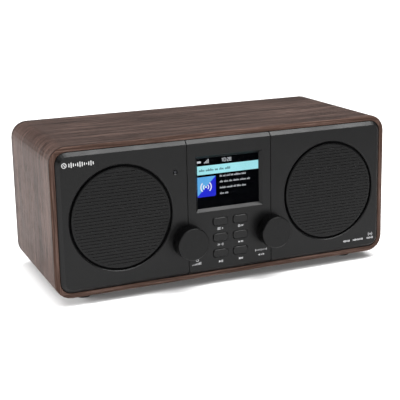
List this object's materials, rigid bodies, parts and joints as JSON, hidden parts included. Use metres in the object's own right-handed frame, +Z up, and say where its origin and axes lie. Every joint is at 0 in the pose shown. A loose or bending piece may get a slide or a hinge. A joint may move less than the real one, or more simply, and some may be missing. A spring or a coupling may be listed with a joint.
{
  "type": "tabletop radio",
  "caption": "Wooden-sleeved stereo tabletop radio with round ribbed speaker grilles, a colour screen, push knobs, push buttons and a folding rear aerial.",
  "frame": {"origin": "centre of the base, on the surface the radio stands on (bottom centre of the bounding box)", "axes": "+Z up, the front faces -Y, +X to the right of a person looking at the front"},
  "size_m": [0.35, 0.179, 0.1505],
  "materials": {
    "walnut_vinyl": "satin walnut-grain vinyl on board",
    "black_plastic": "satin moulded black",
    "grille_plastic": "fine ribbed black",
    "button_plastic": "satin black",
    "knob_plastic": "soft satin black",
    "rear_board": "matt black fibreboard",
    "rubber": "matt",
    "steel": "zinc plated",
    "black_steel": "black pressed steel",
    "aerial_chrome": "polished",
    "cone_paper": "matt pressed paper",
    "ferrite": "dark ferrite",
    "window": "clear polished lens",
    "lcd_frame": "display module",
    "indicator": "smoked lens",
    "laminate": "green circuit board",
    "ribbon": "grey flat lead",
    "jack_plastic": "black"
  },
  "bodies": {
    "case": {"cabinet": "walnut_vinyl", "front_panel": "black_plastic", "rear_panel": "rear_board", "foot_front_left": "rubber", "foot_front_right": "rubber", "foot_rear_left": "rubber", "foot_rear_right": "rubber", "rear_screw_1": "steel", "rear_screw_2": "steel", "rear_screw_3": "steel", "rear_screw_4": "steel", "rear_screw_5": "steel", "rear_screw_6": "steel", "speaker_grille_left": "grille_plastic", "speaker_basket_left": "black_steel", "speaker_surround_left": "rubber", "speaker_magnet_left": "ferrite", "speaker_screw_left_1": "steel", "speaker_screw_left_2": "steel", "speaker_screw_left_3": "steel", "speaker_screw_left_4": "steel", "speaker_grille_right": "grille_plastic", "speaker_basket_right": "black_steel", "speaker_surround_right": "rubber", "speaker_magnet_right": "ferrite", "speaker_screw_right_1": "steel", "speaker_screw_right_2": "steel", "speaker_screw_right_3": "steel", "speaker_screw_right_4": "steel", "encoder_body_volume": "steel", "encoder_body_tuning": "steel", "control_board": "laminate", "main_board": "laminate", "ribbon_cable": "ribbon", "display_window": "window", "lcd_module": "lcd_frame", "indicator_lens": "indicator", "dc_jack": "jack_plastic", "headphone_jack": "jack_plastic", "antenna_mount": "jack_plastic"},
    "volume_rotor": {"encoder_rotor_volume": "jack_plastic"},
    "volume_knob": {"knob_volume": "knob_plastic", "encoder_shaft_volume": "steel"},
    "tuning_rotor": {"encoder_rotor_tuning": "jack_plastic"},
    "tuning_knob": {"knob_tuning": "knob_plastic", "encoder_shaft_tuning": "steel"},
    "button_cap_1": {"button_1": "button_plastic"},
    "button_cap_2": {"button_2": "button_plastic"},
    "button_cap_3": {"button_3": "button_plastic"},
    "button_cap_4": {"button_4": "button_plastic"},
    "button_cap_5": {"button_5": "button_plastic"},
    "button_cap_6": {"button_6": "button_plastic"},
    "cone_left": {"speaker_cone_left": "cone_paper"},
    "cone_right": {"speaker_cone_right": "cone_paper"},
    "aerial_swivel": {"antenna_swivel": "jack_plastic", "antenna_pin": "steel"},
    "aerial_tube_1": {"antenna_tube_1": "aerial_chrome"},
    "aerial_tube_2": {"antenna_tube_2": "aerial_chrome"},
    "aerial_tube_3": {"antenna_tube_3": "aerial_chrome"},
    "aerial_rod": {"antenna_rod": "aerial_chrome"}
  },
  "joints": [
    {"name": "volume_turn", "type": "hinge", "parent": "case", "child": "volume_rotor", "pos_m": [-0.044, -0.07655, 0.0476], "axis": [0, 1, 0], "continuous": true},
    {"name": "volume_push", "type": "slide", "parent": "volume_rotor", "child": "volume_knob", "axis": [0, 1, 0], "range_m": [0, 0.0005], "stiffness_N_per_m": 6000},
    {"name": "tuning_turn", "type": "hinge", "parent": "case", "child": "tuning_rotor", "pos_m": [0.044, -0.07655, 0.0476], "axis": [0, 1, 0], "continuous": true},
    {"name": "tuning_push", "type": "slide", "parent": "tuning_rotor", "child": "tuning_knob", "axis": [0, 1, 0], "range_m": [0, 0.0005], "stiffness_N_per_m": 6000},
    {"name": "button_1_push", "type": "slide", "parent": "case", "child": "button_cap_1", "axis": [0, 1, 0], "range_m": [0, 0.0005], "stiffness_N_per_m": 3200},
    {"name": "button_2_push", "type": "slide", "parent": "case", "child": "button_cap_2", "axis": [0, 1, 0], "range_m": [0, 0.0005], "stiffness_N_per_m": 3200},
    {"name": "button_3_push", "type": "slide", "parent": "case", "child": "button_cap_3", "axis": [0, 1, 0], "range_m": [0, 0.0005], "stiffness_N_per_m": 3200},
    {"name": "button_4_push", "type": "slide", "parent": "case", "child": "button_cap_4", "axis": [0, 1, 0], "range_m": [0, 0.0005], "stiffness_N_per_m": 3200},
    {"name": "button_5_push", "type": "slide", "parent": "case", "child": "button_cap_5", "axis": [0, 1, 0], "range_m": [0, 0.0005], "stiffness_N_per_m": 3200},
    {"name": "button_6_push", "type": "slide", "parent": "case", "child": "button_cap_6", "axis": [0, 1, 0], "range_m": [0, 0.0005], "stiffness_N_per_m": 3200},
    {"name": "cone_left_travel", "type": "slide", "parent": "case", "child": "cone_left", "axis": [0, 1, 0], "range_m": [-0.002, 0.002], "stiffness_N_per_m": 900, "deforming": ["speaker_surround_left"]},
    {"name": "cone_right_travel", "type": "slide", "parent": "case", "child": "cone_right", "axis": [0, 1, 0], "range_m": [-0.002, 0.002], "stiffness_N_per_m": 900, "deforming": ["speaker_surround_right"]},
    {"name": "aerial_swing", "type": "hinge", "parent": "case", "child": "aerial_swivel", "pos_m": [0.146, 0.08545, 0.1295], "axis": [0, 1, 0], "range_deg": [0, 180]},
    {"name": "aerial_tilt", "type": "hinge", "parent": "aerial_swivel", "child": "aerial_tube_1", "pos_m": [0.146, 0.08545, 0.1295], "axis": [0, 0, -1], "range_deg": [0, 90]},
    {"name": "aerial_stage_1", "type": "slide", "parent": "aerial_tube_1", "child": "aerial_tube_2", "axis": [-1, 0, 0], "range_m": [0, 0.098]},
    {"name": "aerial_stage_2", "type": "slide", "parent": "aerial_tube_2", "child": "aerial_tube_3", "axis": [-1, 0, 0], "range_m": [0, 0.098]},
    {"name": "aerial_stage_3", "type": "slide", "parent": "aerial_tube_3", "child": "aerial_rod", "axis": [-1, 0, 0], "range_m": [0, 0.098]}
  ]
}
